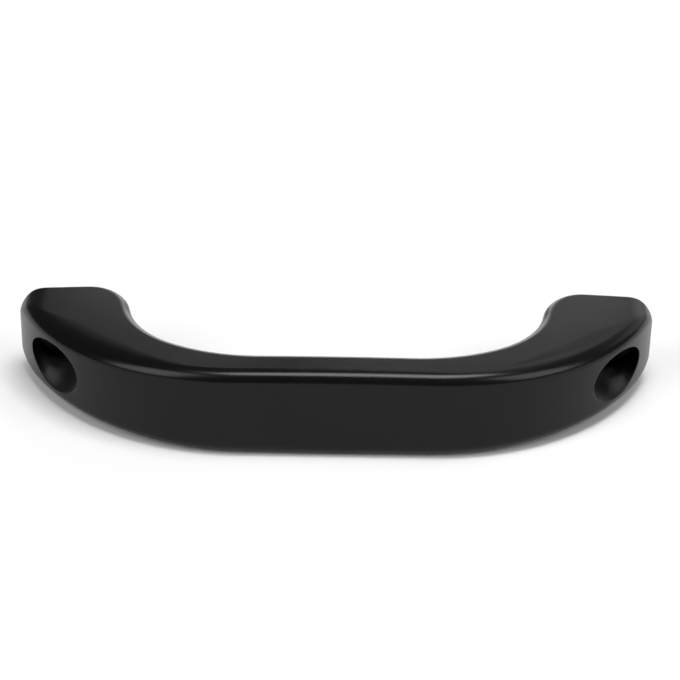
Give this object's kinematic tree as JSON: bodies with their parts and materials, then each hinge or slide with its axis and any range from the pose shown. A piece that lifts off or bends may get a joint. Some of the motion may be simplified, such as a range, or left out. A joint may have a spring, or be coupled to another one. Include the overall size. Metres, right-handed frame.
{
  "type": "roof grab handle",
  "caption": "One-piece bow handle with rounded edges. Each end widens into a flat foot, with a deep pocket on its outer side for the fixing screw.",
  "frame": {"origin": "midway between the two screw holes, on the plane of the two foot faces", "axes": "+X along the handle, +Y from the bar towards the surface it is screwed to, +Z across the bar"},
  "size_m": [0.2, 0.056, 0.029],
  "materials": {
    "black_plastic": "satin, fine moulded texture"
  },
  "bodies": {
    "root": {"grab_handle": "black_plastic"}
  },
  "joints": []
}
